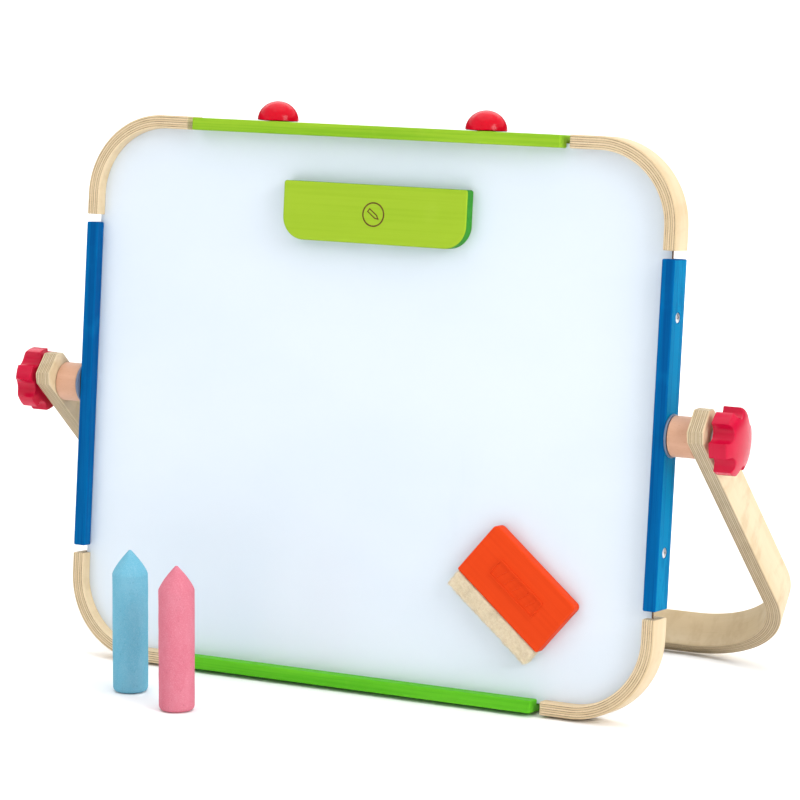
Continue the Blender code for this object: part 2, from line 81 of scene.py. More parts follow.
RELIEF, BURN, SUNK = 0.00065, 0.00006, 0.0003
CHALK_RADIUS, CHALK_HEIGHT, CHALK_POINT = 0.0108, 0.0865, 0.0150
CHALKS = {"chalk_blue": (-0.1158, -0.0683), "chalk_pink": (-0.0683, -0.0938)}
ARC_PLIES, STAND_PLIES = 6, 8

MIDDLE = HEIGHT / 2
SHEET_FACE = CORE / 2 + GAP + SHEET
BOARD = Matrix.Translation((0, BACK, DEPTH / 2 * math.sin(TILT))) @ Matrix.Rotation(-TILT, 4, "X")
PIVOT = BOARD @ Vector((0, 0, MIDDLE))
SWING = math.acos(PIVOT.z / math.hypot(REACH, ARM_WIDTH / 2)) + math.atan2(ARM_WIDTH / 2, REACH)
WASHER_X = WIDTH / 2 + GAP
SPACER_X = WASHER_X + WASHER + GAP
ARM_X = SPACER_X + SPACER + GAP
KNOB_WASHER_X = ARM_X + ARM + GAP
KNOB_X = KNOB_WASHER_X + WASHER + GAP


def on_board(across=0.0, forward=0.0, up=0.0, turn=0.0):
    """A place on the board: across to the right, forward out of the whiteboard, up the board."""
    return BOARD @ Matrix.Translation((across, -forward, up)) @ Matrix.Rotation(-turn, 4, "Y")


# ---- node trees
class Wire:
    """A socket in a node tree. Arithmetic on it adds Math nodes; colours and vectors have their own methods."""

    def __init__(self, graph, socket):
        self.graph, self.socket = graph, socket

    def out(self, name):
        return Wire(self.graph, self.socket.node.outputs[name])

    def math(self, operation, *others):
        feed = dict(enumerate((self,) + others))
        return self.graph.add("ShaderNodeMath", feed, operation=operation)

    def __add__(self, other): return self.math("ADD", other)
    def __radd__(self, other): return self.math("ADD", other)
    def __sub__(self, other): return self.math("SUBTRACT", other)
    def __mul__(self, other): return self.math("MULTIPLY", other)
    def __rmul__(self, other): return self.math("MULTIPLY", other)
    def __truediv__(self, other): return self.math("DIVIDE", other)

    def __rsub__(self, other):
        return self.graph.add("ShaderNodeMath", {0: other, 1: self}, operation="SUBTRACT")

    def step(self, low, high):
        """0 below low, 1 above high, smooth between; low may be the larger."""
        feed = {"Value": self, "From Min": low, "From Max": high}
        return self.graph.add("ShaderNodeMapRange", feed, interpolation_type="SMOOTHSTEP")

    def axis(self, name):
        parts = self.graph.add("ShaderNodeSeparateXYZ", {0: self})
        return parts.out(name)


class Graph:
    """Adds nodes to a tree by kind; feed maps input names or numbers to wires or constants."""

    def __init__(self, tree, own_grain=True):
        self.tree, self.own_grain = tree, own_grain

    def add(self, kind, feed=None, out=0, **settings):
        node = self.tree.nodes.new(kind)
        for key, value in settings.items():
            setattr(node, key, value)
        for key, value in (feed or {}).items():
            self.put(node.inputs[key], value)
        return Wire(self, node.outputs[out]) if len(node.outputs) else node

    def put(self, socket, value):
        if isinstance(value, Wire):
            self.tree.links.new(value.socket, socket)
        else:
            socket.default_value = value

    def mix(self, factor, first, second):
        feed = {"Factor": factor, 6: first, 7: second}
        return self.add("ShaderNodeMix", feed, 2, data_type="RGBA")

    def noise(self, place, scale, detail, rough=0.5):
        feed = {"Vector": place, "Scale": scale, "Detail": detail, "Roughness": rough}
        return self.add("ShaderNodeTexNoise", feed)

    def specks(self, cycles, detail, rough=0.5):
        """Noise in the piece's own coordinates, with this many cycles a metre each way."""
        return self.noise(self.place(cycles), 1.0, detail, rough)

    def place(self, stretch=(1, 1, 1)):
        """The piece's own coordinates in metres: x along its grain, y across it, z through it."""
        if self.own_grain:
            spot = self.add("ShaderNodeAttribute", attribute_name="grain", attribute_type="GEOMETRY")
            spot = spot.out("Vector")
        else:
            spot = self.add("ShaderNodeTexCoord").out("Object")
        return self.add("ShaderNodeVectorMath", {0: spot, 1: stretch}, operation="MULTIPLY")


def rgb(red, green, blue):
    return (red, green, blue, 1.0)


def tint(share, *colour):
    """A colour at a share of its brightness."""
    return rgb(*(share * c for c in colour))


def material(name, look, own_grain=True, **constants):
    """look(graph) gives the sockets that vary; constants are set on the shader itself. A piece made here
    stores its own coordinates as 'grain'; a node kept from the frame is read by Object coordinates instead."""
    made = bpy.data.materials.new(name)
    made.use_nodes = True
    tree = made.node_tree
    shader = tree.nodes["Principled BSDF"]
    graph = Graph(tree, own_grain)
    for key, value in constants.items():
        shader.inputs[key.replace("_", " ")].default_value = value
    for key, value in look(graph).items():
        if key == "Height":
            height, distance = value
            feed = {"Height": height, "Distance": distance, "Strength": 1.0}
            value = graph.add("ShaderNodeBump", feed)
            key = "Normal"
        graph.put(shader.inputs[key], value)
    return made


# ---- materials
def wood_streaks(g, fine=1.0):
    """Slow colour drift and fine fibres along the grain."""
    drift = g.specks((9 * fine, 70 * fine, 70 * fine), 3.0, 0.55)
    fibre = g.specks((70 * fine, 1500 * fine, 1500 * fine), 3.0, 0.6)
    return drift, fibre


def plywood(thickness, plies, shade=1.0, blotch=0.30):
    """Birch ply: pale broad faces with a soft figure; on the edges every glue line is a fine dark line. A shade
    below 1 darkens every edge colour: partly the end grain's own darker tone, partly painted shade.
    """
    def look(g):
        spot = g.place()
        layer = (spot.axis("Z") + thickness / 2) / (thickness / plies)
        cross = (layer.math("FLOOR") * 0.5).math("FRACT").step(0.2, 0.3)
        within = (layer.math("FRACT") - 0.5).math("ABSOLUTE") * 2
        inside = spot.axis("Z").math("ABSOLUTE").step(thickness / 2 - 0.00025, thickness / 2 - 0.0006)
        waver = g.specks((130, 130, 0), 2.0) * 0.22
        breaks = g.specks((60, 60, 900), 2.0).step(0.30, 0.55)
        glue = (within + waver).step(0.80, 0.99) * inside * (breaks * 0.45 + 0.55)
        drift, fibre = wood_streaks(g)
        figure = g.specks((70, 45, 45), 3.0, 0.6)
        pores = g.specks((3000, 3000, 4200), 1.0).step(0.54, 0.68)
        veneer = g.mix(drift.step(0.28, 0.75), rgb(0.72, 0.585, 0.390), rgb(0.64, 0.490, 0.295))
        veneer = g.mix(figure.step(0.46, 0.70) * blotch, veneer, rgb(0.50, 0.350, 0.185))
        veneer = g.mix(fibre.step(0.56, 0.85) * 0.35, veneer, rgb(0.46, 0.325, 0.175))
        # edge colours are scaled by shade: below 1 this is partly the end grain's own darker tone, partly
        # painted shade on the edges
        edge = g.mix(drift.step(0.3, 0.7), tint(shade, 0.80, 0.655, 0.440), tint(shade, 0.72, 0.560, 0.350))
        edge = g.mix(pores * 0.42, edge, tint(shade, 0.38, 0.255, 0.130))
        end_ply = g.mix(cross * 0.35, edge, tint(shade, 0.52, 0.375, 0.210))
        layered = g.mix(inside, veneer, end_ply)
        colour = g.mix(glue * 0.92, layered, tint(shade, 0.175, 0.100, 0.046))
        height = fibre * 0.35 + pores * inside * -0.7 + glue * -0.9
        return {"Base Color": colour, "Roughness": 0.42 + fibre * 0.22, "Height": (height, 0.00010)}

    return look


def painted(colour, deep, worn, grain=1.0):
    """Thin satin paint on wood: the grain shows through as streaks and fine ridges."""
    def look(g):
        drift, fibre = wood_streaks(g)
        cloud = g.specks((40, 40, 40), 3.0)
        bands = g.specks((6, 420, 420), 3.0, 0.6)
        tone = g.mix(drift.step(0.30, 0.72) * 0.45 * grain, colour, deep)
        tone = g.mix(bands.step(0.42, 0.66) * 0.75 * grain, tone, deep)
        tone = g.mix(fibre.step(0.52, 0.80) * 0.40 * grain, tone, deep)
        tone = g.mix(cloud.step(0.62, 0.80) * 0.25, tone, worn)
        height = fibre * 0.6 * grain + g.specks((900, 900, 900), 2.0) * 0.5
        rough = 0.30 + fibre * 0.18 + cloud * 0.08
        return {"Base Color": tone, "Roughness": rough, "Height": (height, 0.00005)}

    return look


def hardboard(g):
    chips = g.specks((900, 900, 2600), 3.0, 0.7)
    colour = g.mix(chips.step(0.35, 0.70), rgb(0.13, 0.060, 0.028), rgb(0.27, 0.14, 0.065))
    return {"Base Color": colour, "Roughness": 0.70 + chips * 0.2, "Height": (chips, 0.00012)}


def white_enamel(g):
    haze = g.specks((5, 9, 5), 3.0, 0.55)
    wipe = g.specks((22, 5, 22), 4.0, 0.6)
    colour = g.mix(haze.step(0.35, 0.75), rgb(0.690, 0.762, 0.835), rgb(0.660, 0.738, 0.820))
    colour = g.mix(wipe.step(0.60, 0.85) * 0.35, colour, rgb(0.615, 0.695, 0.785))
    peel = g.specks((260, 260, 260), 2.0)
    rough = 0.27 + wipe.step(0.5, 0.85) * 0.14 + haze * 0.05
    return {"Base Color": colour, "Roughness": rough, "Height": (peel, 0.00001)}


def chalkboard(g):
    dust = g.specks((7, 22, 7), 5.0, 0.62)
    swipe = g.specks((60, 6, 60), 4.0, 0.6)
    grit = g.specks((4000, 4000, 4000), 2.0)
    cover = dust.step(0.48, 0.85) * 0.22 + swipe.step(0.58, 0.85) * 0.10 + grit.step(0.62, 0.80) * 0.10
    colour = g.mix(cover, rgb(0.020, 0.024, 0.026), rgb(0.22, 0.23, 0.24))
    return {"Base Color": colour, "Roughness": 0.78 + grit * 0.15, "Height": (grit, 0.00004)}


def lacquer(colour, deep):
    """Thick gloss paint with a faint orange peel."""
    def look(g):
        cloud = g.specks((60, 60, 60), 3.0)
        peel = g.specks((380, 380, 380), 2.0)
        tone = g.mix(cloud.step(0.35, 0.75), colour, deep)
        return {"Base Color": tone, "Roughness": 0.12 + cloud * 0.10, "Height": (peel, 0.00004)}

    return look


def moulded(colour, deep, gloss=0.16):
    """Moulded plastic with faint flow marks."""
    def look(g):
        flow = g.specks((30, 90, 90), 3.0)
        speck = g.specks((1500, 1500, 1500), 2.0)
        tone = g.mix(flow.step(0.3, 0.8), colour, deep)
        rough = gloss + speck * 0.10 + flow * 0.05
        return {"Base Color": tone, "Roughness": rough, "Height": (speck, 0.00002)}

    return look


def beech(g):
    drift, fibre = wood_streaks(g, 1.4)
    fleck = g.specks((420, 2600, 2600), 1.0).step(0.62, 0.70)
    colour = g.mix(drift.step(0.3, 0.7), rgb(0.66, 0.385, 0.265), rgb(0.585, 0.325, 0.21))
    colour = g.mix(fleck * 0.55, colour, rgb(0.52, 0.27, 0.16))
    return {"Base Color": colour, "Roughness": 0.45 + fibre * 0.2, "Height": (fibre + fleck * -0.6, 0.00008)}


def metal(colour, rough):
    """Plated or bare metal with small stains."""
    def look(g):
        lines = g.specks((900, 900, 900), 2.0)
        stain = g.specks((300, 300, 300), 3.0)
        tone = g.mix(stain.step(0.45, 0.8) * 0.5, colour, tint(0.6, *colour[:3]))
        gloss = rough + lines * 0.12 + stain * 0.08
        return {"Base Color": tone, "Roughness": gloss, "Height": (lines, 0.00002)}

    return look


def felt_look(g):
    knots = g.specks((700, 700, 700), 4.0, 0.65)
    layers = g.specks((120, 900, 120), 3.0)
    colour = g.mix(knots.step(0.3, 0.7), rgb(0.68, 0.565, 0.39), rgb(0.80, 0.70, 0.52))
    colour = g.mix(layers.step(0.52, 0.8) * 0.5, colour, rgb(0.48, 0.38, 0.25))
    return {"Base Color": colour, "Roughness": 0.92 + knots * 0.06, "Height": (knots + layers, 0.00025)}


def fibre_look(g):
    tone = g.specks((500, 500, 500), 2.0)
    colour = g.mix(tone.step(0.3, 0.7), rgb(0.72, 0.62, 0.45), rgb(0.84, 0.76, 0.60))
    return {"Base Color": colour, "Roughness": 0.90 + tone * 0.08}


def chalk(colour, pale):
    """Pressed chalk: even colour with a fine pale speckle and small pits, darkened with painted shade."""
    def look(g):
        grain = g.specks((1700, 1700, 1700), 3.0, 0.7)
        pits = g.specks((900, 900, 900), 1.0).step(0.66, 0.76)
        bloom = g.specks((90, 90, 50), 4.0, 0.6)
        tone = g.mix(bloom.step(0.35, 0.80) * 0.40, colour, pale)
        tone = g.mix(grain.step(0.48, 0.66) * 0.55, tone, pale)
        # the pits are darkened: painted shade in the recesses
        tone = g.mix(pits * 0.35, tone, tint(0.72, *colour[:3]))
        return {"Base Color": tone, "Roughness": 0.88 + grain * 0.1, "Height": (grain * 0.6 - pits, 0.00022)}

    return look


def burnt(g):
    char = g.specks((1500, 1500, 1500), 3.0)
    colour = g.mix(char.step(0.3, 0.75), rgb(0.085, 0.040, 0.012), rgb(0.17, 0.085, 0.025))
    return {"Base Color": colour, "Roughness": 0.6 + char * 0.2, "Height": (char, 0.00006)}


# satin paints: main colour, deeper streaks, paler clouds, how far the grain shows, and specular level
SATIN = {
    "green": ((0.300, 0.500, 0.030), (0.170, 0.390, 0.014), (0.40, 0.58, 0.070), 1.0, 0.03),
    "green_low": ((0.125, 0.500, 0.022), (0.070, 0.390, 0.012), (0.20, 0.57, 0.05), 1.0, 0.03),
    "blue": ((0.0, 0.122, 0.340), (0.0, 0.060, 0.220), (0.002, 0.200, 0.46), 1.0, 0.03),
    # a lighter, more cyan copy of the blue for the side rails' outer faces: painted light where the lamp falls
    # on that side
    "blue_edge": ((0.0, 0.215, 0.430), (0.0, 0.125, 0.300), (0.002, 0.27, 0.48), 1.0, 0.01),
    "lime": ((0.325, 0.485, 0.030), (0.260, 0.425, 0.020), (0.38, 0.53, 0.046), 0.5, 0.03),
    # a darker, greener copy of the lime for the clip's side faces: painted shade on those sides
    "lime_edge": ((0.045, 0.280, 0.030), (0.025, 0.200, 0.018), (0.09, 0.36, 0.04), 0.7, 0.03),
    "orange": ((0.720, 0.058, 0.010), (0.63, 0.042, 0.006), (0.77, 0.082, 0.018), 0.4, 0.03),
}
# everything else: how it looks, and the constants of its shader
BARE_WOOD, DUSTY = {"Specular_IOR_Level": 0.25}, {"Specular_IOR_Level": 0.1}
OTHERS = {
    "arc_ply": (plywood(FACE, ARC_PLIES), BARE_WOOD),
    # 0.80 darkens the stand's edges: partly the end grain's own tone, partly painted shade
    "stand_ply": (plywood(ARM, STAND_PLIES, 0.80, 0.42), BARE_WOOD),
    "hardboard": (hardboard, {}),
    "white_enamel": (white_enamel, {"Coat_Weight": 0.12, "Coat_Roughness": 0.12}),
    "chalkboard": (chalkboard, {}),
    "red_lacquer": (lacquer(rgb(0.60, 0.0, 0.016), rgb(0.53, 0.0, 0.011)), {"Specular_IOR_Level": 0.16}),
    "red_plastic": (moulded(rgb(0.54, 0.004, 0.038), rgb(0.48, 0.002, 0.028)), {"Specular_IOR_Level": 0.20}),
    "grey_plastic": (moulded(rgb(0.13, 0.175, 0.26), rgb(0.09, 0.125, 0.20), 0.34), {}),
    "beech": (beech, BARE_WOOD),
    "zinc": (metal(rgb(0.66, 0.67, 0.69), 0.22), {"Metallic": 1.0}),
    "bolt_zinc": (metal(rgb(0.66, 0.67, 0.69), 0.22), {"Metallic": 1.0, "own_grain": False}),
    "brass": (metal(rgb(0.78, 0.58, 0.26), 0.24), {"Metallic": 1.0, "own_grain": False}),
    "ferrite": (metal(rgb(0.05, 0.05, 0.055), 0.45), {"own_grain": False}),
    "felt": (felt_look, DUSTY),
    "fibre": (fibre_look, DUSTY),
    "chalk_blue": (chalk(rgb(0.140, 0.410, 0.550), rgb(0.26, 0.52, 0.64)), DUSTY),
    "chalk_pink": (chalk(rgb(0.61, 0.160, 0.220), rgb(0.70, 0.28, 0.34)), DUSTY),
    "burnt": (burnt, DUSTY),
}
LOOKS = {name: material(name, look, **constants) for name, (look, constants) in OTHERS.items()}
for name, (*tones, grain, level) in SATIN.items():
    LOOKS[name] = material(name, painted(*(rgb(*tone) for tone in tones), grain), Specular_IOR_Level=level)


# ---- mesh making
def add_object(name, data):
    made = bpy.data.objects.new(name, data)
    bpy.context.scene.collection.objects.link(made)
    return made


def from_work(mesh, work, sharp):
    """Writes a bmesh into a mesh, with its points as they are now stored as 'grain'."""
    bmesh.ops.recalc_face_normals(work, faces=work.faces)
    work.to_mesh(mesh)
    work.free()
    spots = mesh.attributes.new("grain", "FLOAT_VECTOR", "POINT")
    spots.data.foreach_set("vector", np.array([v.co for v in mesh.vertices]).ravel())
    shade(mesh, sharp)
    return add_object(mesh.name, mesh)


def mesh_piece(name, verts, faces, sharp=32):
    mesh = bpy.data.meshes.new(name)
    mesh.from_pydata([tuple(v) for v in verts], [], faces)
    work = bmesh.new()
    work.from_mesh(mesh)
    return from_work(mesh, work, sharp)


def shade(mesh, sharp):
    mesh.shade_smooth()
    mesh.set_sharp_from_angle(angle=math.radians(sharp))


def bake(obj, sharp=None):
    """The modifiers become plain mesh; a curve becomes a mesh of the same name."""
    bpy.context.view_layer.update()
    evaluated = obj.evaluated_get(bpy.context.evaluated_depsgraph_get())
    mesh = bpy.data.meshes.new_from_object(evaluated)
    if obj.type == "MESH":
        obj.modifiers.clear()
        obj.data = mesh
    else:
        name = obj.name
        bpy.data.objects.remove(obj)
        obj = add_object(name, mesh)
    if sharp is not None:
        shade(obj.data, sharp)
    return obj


def swap_grain(obj, order):
    """Re-orders the stored coordinates so that x runs along the grain."""
    data = obj.data.attributes["grain"].data
    spots = np.zeros(len(data) * 3)
    data.foreach_get("vector", spots)
    data.foreach_set("vector", spots.reshape(-1, 3)[:, order].ravel())


def rounded(obj, width, segments=3):
    """Eases every edge sharper than 30 degrees."""
    bevel = obj.modifiers.new("eased", "BEVEL")
    bevel.width, bevel.segments = width, segments
    bevel.limit_method, bevel.angle_limit = "ANGLE", math.radians(30)
    return obj


def carve(obj, *cutters):
    """Cuts the cutters out of the piece, bakes it and throws the cutters away."""
    for cutter in cutters:
        boolean = obj.modifiers.new("carve", "BOOLEAN")
        boolean.operation, boolean.solver, boolean.object = "DIFFERENCE", "EXACT", cutter
    bake(obj)
    for cutter in cutters:
        bpy.data.objects.remove(cutter)


def merge(name, objects):
    """Several objects as one; materials keep their slots."""
    with bpy.context.temp_override(active_object=objects[0], selected_editable_objects=objects,
                                   selected_objects=objects, object=objects[0]):
        bpy.ops.object.join()
    objects[0].name = name
    return objects[0]


def finish(obj, look):
    obj.data.materials.clear()
    obj.data.materials.append(LOOKS[look])


def settle(obj, look, matrix, body, slot, *nodes, soft=False):
    """Puts a finished piece in the row frame: its place goes into its mesh, and it rides on its body."""
    if not soft:
        steady = obj.modifiers.new("steady", "WEIGHTED_NORMAL")
        steady.weight, steady.keep_sharp = 100, True
        bake(obj)
    obj.data.transform(matrix)
    obj.data.update()
    obj.matrix_world = Matrix.Identity(4)
    if look is not None:
        finish(obj, look)
    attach(obj, body)
    if nodes:
        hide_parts(*nodes)


def second_look(obj, look, faces):
    """Gives the listed faces of a settled piece a second material, a copy of its paint that carries painted
    light (blue rails) and painted shade (clip) on those faces.
    """
    obj.data.materials.append(LOOKS[look])
    for index in faces:
        obj.data.polygons[index].material_index = 1


def arc_points(cx, cy, radius, start, end, steps):
    turns = np.radians(np.linspace(start, end, steps + 1))
    return [(cx + radius * math.cos(t), cy + radius * math.sin(t)) for t in turns]


def rounded_outline(half_width, half_height, radii, steps=12):
    """A rectangle with rounded corners, anticlockwise from the upper right one."""
    outline = []
    for radius, sx, sy, start in zip(radii, (1, -1, -1, 1), (1, 1, -1, -1), (0, 90, 180, 270)):
        across, up = sx * (half_width - radius), sy * (half_height - radius)
        outline += arc_points(across, up, radius, start, start + 90, steps)
    return outline


def prism(name, outline, low, high, axis="Y", sharp=32):
    """An outline run from low to high along an axis."""
    count = len(outline)
    order = {"X": (2, 0, 1), "Y": (0, 2, 1), "Z": (0, 1, 2)}[axis]
    verts = [[(a, b, level)[k] for k in order] for level in (low, high) for a, b in outline]
    faces = [tuple(range(count)), tuple(range(2 * count - 1, count - 1, -1))]
    faces += [(i, i + count, (i + 1) % count + count, (i + 1) % count) for i in range(count)]
    return mesh_piece(name, verts, faces, sharp=sharp)


def filleted(points, radii, steps=4):
    """Rounds the corners of an open profile, with one radius for each inner corner."""
    result = [points[0]]
    for before, corner, after, size in zip(points, points[1:], points[2:], radii):
        a, b, c = (Vector((*p, 0)) for p in (before, corner, after))
        first, second = (a - b).normalized(), (c - b).normalized()
        bend = first.angle(second)
        if size <= 0 or bend > math.pi - 0.02:
            result.append(corner)
            continue
        back = min(size / math.tan(bend / 2), (a - b).length * 0.49, (c - b).length * 0.49)
        start, end = b + first * back, b + second * back
        for i in range(steps + 1):
            t = i / steps
            p = start.lerp(b, t).lerp(b.lerp(end, t), t)
            result.append((p.x, p.y))
    result.append(points[-1])
    return result


def lathe(name, profile, axis="Z", steps=96, sharp=32, ripple=None):
    """A solid of revolution from (radius, height) points; ripple(turn, radius, height) may shift the radius."""
    verts, rings = [], []
    for radius, height in profile:
        if radius < 1e-7:
            rings.append([len(verts)])
            verts.append((0.0, 0.0, height))
            continue
        rings.append(list(range(len(verts), len(verts) + steps)))
        for i in range(steps):
            turn = 2 * math.pi * i / steps
            r = radius + (ripple(turn, radius, height) if ripple else 0.0)
            verts.append((r * math.cos(turn), r * math.sin(turn), height))
    pairs = list(zip(rings, rings[1:]))
    if len(rings[0]) > 1:
        pairs.append((rings[-1], rings[0]))
    faces = []
    for first, second in pairs:
        for i in range(steps):
            j = (i + 1) % steps
            corners = (first, i), (first, j), (second, j), (second, i)
            face = tuple(dict.fromkeys(ring[k % len(ring)] for ring, k in corners))
            if len(face) > 2:
                faces.append(face)
    order = {"X": (2, 0, 1), "Z": (0, 1, 2)}[axis]
    return mesh_piece(name, [[v[k] for k in order] for v in verts], faces, sharp=sharp)


def wobble(seed, count, spread):
    """An uneven value for every place: the mean of many sine waves."""
    rng = np.random.default_rng(seed)
    waves = rng.uniform(-1, 1, (count, 3)) * spread
    phases = rng.uniform(0, 6.28, count)
    return lambda place: float(np.sin(waves @ place + phases).mean())


def add_line(curve, points, closed=False):
    line = curve.splines.new("POLY")
    line.points.add(len(points) - 1)
    for point, (x, y) in zip(line.points, points):
        point.co = (x, y, 0, 1)
    line.use_cyclic_u = closed


def start_group(name, *inputs):
    """A node group from geometry to geometry, with further inputs by name and kind, and a material last."""
    tree = bpy.data.node_groups.new(name, "GeometryNodeTree")
    tree.interface.new_socket("Geometry", in_out="OUTPUT", socket_type="NodeSocketGeometry")
    for label, kind in (("Geometry", "Geometry"), *inputs, ("Material", "Material")):
        tree.interface.new_socket(label, in_out="INPUT", socket_type="NodeSocket" + kind)
    g = Graph(tree)
    given = tree.nodes.new("NodeGroupInput")
    return g, {s.name: Wire(g, s) for s in given.outputs if s.name}


def finish_group(g, geometry, grain, finish):
    """Stores the grain, makes everything real and sets the material."""
    stored = g.add("GeometryNodeStoreNamedAttribute", {"Geometry": geometry, "Name": "grain", "Value": grain},
                   data_type="FLOAT_VECTOR", domain="POINT")
    whole = g.add("GeometryNodeRealizeInstances", {"Geometry": stored})
    done = g.add("GeometryNodeSetMaterial", {"Geometry": whole, "Material": finish})
    g.put(g.tree.nodes.new("NodeGroupOutput").inputs["Geometry"], done)
    return g.tree


def add_nodes(obj, group, inputs):
    """Runs a node group on an object, with its inputs given by name."""
    modifier = obj.modifiers.new(group.name, "NODES")
    modifier.node_group = group
    for item in group.interface.items_tree:
        if item.item_type == "SOCKET" and item.name in inputs:
            modifier[item.identifier] = inputs[item.name]


FLIP = Matrix.Rotation(math.pi, 4, "Y")
LEVELS = (("upper", 1), ("lower", -1))


def sides():
    """Left and right, with the sign across and the matrix that faces a piece outwards."""
    return (("left", -1, FLIP), ("right", 1, Matrix.Identity(4)))


# ---- bent plywood, swept by nodes
def ply_profile(name, thickness, width, plies, slot_plies=0, slot=0.0):
    """One closed outline per ply; x is through the strip, inside to outside, and y is across its width."""
    curve = bpy.data.curves.new(name, "CURVE")
    curve.dimensions = "2D"
    ply, notch = thickness / plies, 0.00010
    for k in range(plies):
        low, high = -thickness / 2 + k * ply, -thickness / 2 + (k + 1) * ply
        spans = [(-width / 2, width / 2)]
        if k < slot_plies:
            spans = [(-width / 2, -slot / 2), (slot / 2, width / 2)]
        for bottom, top in spans:
            points = []
            for x, y, start in ((high, top, 0), (low, top, 90), (low, bottom, 180), (high, bottom, 270)):
                outer = (k == 0 and x == low) or (k == plies - 1 and x == high)
                radius = EASE if outer and abs(abs(y) - width / 2) < 1e-9 else notch
                across = x - radius if x == high else x + radius
                up = y - radius if y == top else y + radius
                steps = 5 if radius > notch else 1
                points += arc_points(across, up, radius, start, start + 90, steps)
            add_line(curve, points, closed=True)
    return add_object(name, curve)


def bent_strip_nodes():
    """Node group: a ply profile is swept along the path, eased at its ends and chamfered in width near them."""
    sizes = ("Strip Width", "End Flat", "Chamfer Length", "End Ease")
    g, value = start_group("bent_strip", ("Profile", "Object"), *((label, "Float") for label in sizes))
    along = g.add("GeometryNodeSplineParameter").out("Length")
    total = g.add("GeometryNodeSplineLength")
    from_end = along.math("MINIMUM", total - along)
    eased = from_end.math("DIVIDE", value["End Ease"]).math("MINIMUM", 1.0) * 0.05 + 0.95
    path = g.add("GeometryNodeCaptureAttribute", {"Geometry": value["Geometry"]})
    path.socket.node.capture_items.new("FLOAT", "Along")
    path.socket.node.capture_items.new("FLOAT", "From End")
    g.put(path.socket.node.inputs["Along"], along)
    g.put(path.socket.node.inputs["From End"], from_end)
    path_line = g.add("GeometryNodeSetCurveRadius", {"Curve": path, "Radius": eased})

    outline = g.add("GeometryNodeObjectInfo", {"Object": value["Profile"]}).out("Geometry")
    section = g.add("GeometryNodeCaptureAttribute", {"Geometry": outline})
    section.socket.node.capture_items.new("VECTOR", "Section")
    spot = g.add("GeometryNodeInputPosition")
    g.put(section.socket.node.inputs["Section"], spot)
    swept = g.add("GeometryNodeCurveToMesh", {"Curve": path_line, "Profile Curve": section, "Fill Caps": True})
    g.put(swept.socket.node.inputs["Scale"], eased)

    section_spot = section.out("Section")
    near = path.out("From End") / value["Chamfer Length"].math("MAXIMUM", 0.00001)
    near = near.math("MINIMUM", 1.0)
    half = value["Strip Width"] / 2
    flat = value["End Flat"] / 2
    limit = flat + (half - flat) * near
    place = g.add("GeometryNodeInputPosition")
    height = place.axis("Z")
    clamped = height.math("MINIMUM", limit).math("MAXIMUM", limit * -1)
    moved = g.add("ShaderNodeCombineXYZ", {"X": place.axis("X"), "Y": place.axis("Y"), "Z": clamped})
    shaped = g.add("GeometryNodeSetPosition", {"Geometry": swept, "Position": moved})
    run = {"X": path.out("Along"), "Y": section_spot.axis("Y"), "Z": section_spot.axis("X")}
    return finish_group(g, shaped, g.add("ShaderNodeCombineXYZ", run), value["Material"])


def bent_strip(name, path, profile, width, look, end_flat=None, chamfer=0.0):
    """Sweeps the plies along a path drawn in its own plane; the strip's width stands up out of that plane."""
    curve = bpy.data.curves.new(name, "CURVE")
    curve.dimensions = "3D"
    curve.twist_mode = "Z_UP"
    add_line(curve, path)
    made = add_object(name, curve)
    add_nodes(made, STRIP_NODES, {
        "Profile": profile, "Strip Width": width, "End Flat": end_flat or width,
        "Chamfer Length": chamfer, "End Ease": EASE_END, "Material": LOOKS[look],
    })
    return bake(made, sharp=28)


STRIP_NODES = bent_strip_nodes()

# corner arcs: the inner plies are split by the groove that holds the panel
arc_profile = ply_profile("arc_profile", FACE, DEPTH, ARC_PLIES, 3, GROOVE)
run_across = WIDTH / 2 - CORNER - (TOP_LENGTH / 2 + JOINT)
run_up = MIDDLE - CORNER - (SIDE_LENGTH / 2 + JOINT)
middle_radius = CORNER - FACE / 2
arc_path = [(middle_radius, -run_up), (middle_radius, -run_up + EASE_END)]
arc_path += arc_points(0, 0, middle_radius, 0, 90, 40)
arc_path += [(-run_across + EASE_END, middle_radius), (-run_across, middle_radius)]
for vertical, sy in LEVELS:
    for horizontal, sx in (("left", -1), ("right", 1)):
        name = "corner_arc_" + vertical + "_" + horizontal
        path = [(sx * x, sy * y) for x, y in arc_path][::sx * sy]
        strip = bent_strip("look_" + name, path, arc_profile, DEPTH, "arc_ply")
        stand_up = Matrix.Rotation(math.pi / 2, 4, "X")
        place = on_board(sx * (WIDTH / 2 - CORNER), 0, MIDDLE + sy * (MIDDLE - CORNER)) @ stand_up
        settle(strip, None, place, "board", "birch_ply", name)

# the stand, one strip bent twice
stand_profile = ply_profile("stand_profile", ARM, ARM_WIDTH, STAND_PLIES)
centre_x, centre_z = ARM_X + ARM - BEND, -(REACH - BEND)
levels = (HEAD, HEAD - EASE_END, HEAD - HEAD_CHAMFER / 2, HEAD - HEAD_CHAMFER, 0, -0.05, -0.10)
half_path = [(ARM_X + ARM / 2, z) for z in levels]
half_path += arc_points(centre_x, centre_z, BEND - ARM / 2, 0, -90, 44)
half_path.append((0.05, -(REACH - ARM / 2)))
stand_path = half_path + [(-x, z) for x, z in half_path[::-1]]
stand = bent_strip("look_stand_bow", stand_path[::-1], stand_profile, ARM_WIDTH, "stand_ply",
                   HEAD_FLAT, HEAD_CHAMFER)
stand.data.transform(Matrix.Rotation(math.pi / 2, 4, "X"))
place = Matrix.Translation(PIVOT) @ Matrix.Rotation(SWING, 4, "X")
settle(stand, None, place, "stand", "birch_ply", "stand_bow")
for leftover in (arc_profile, stand_profile):
    bpy.data.objects.remove(leftover)


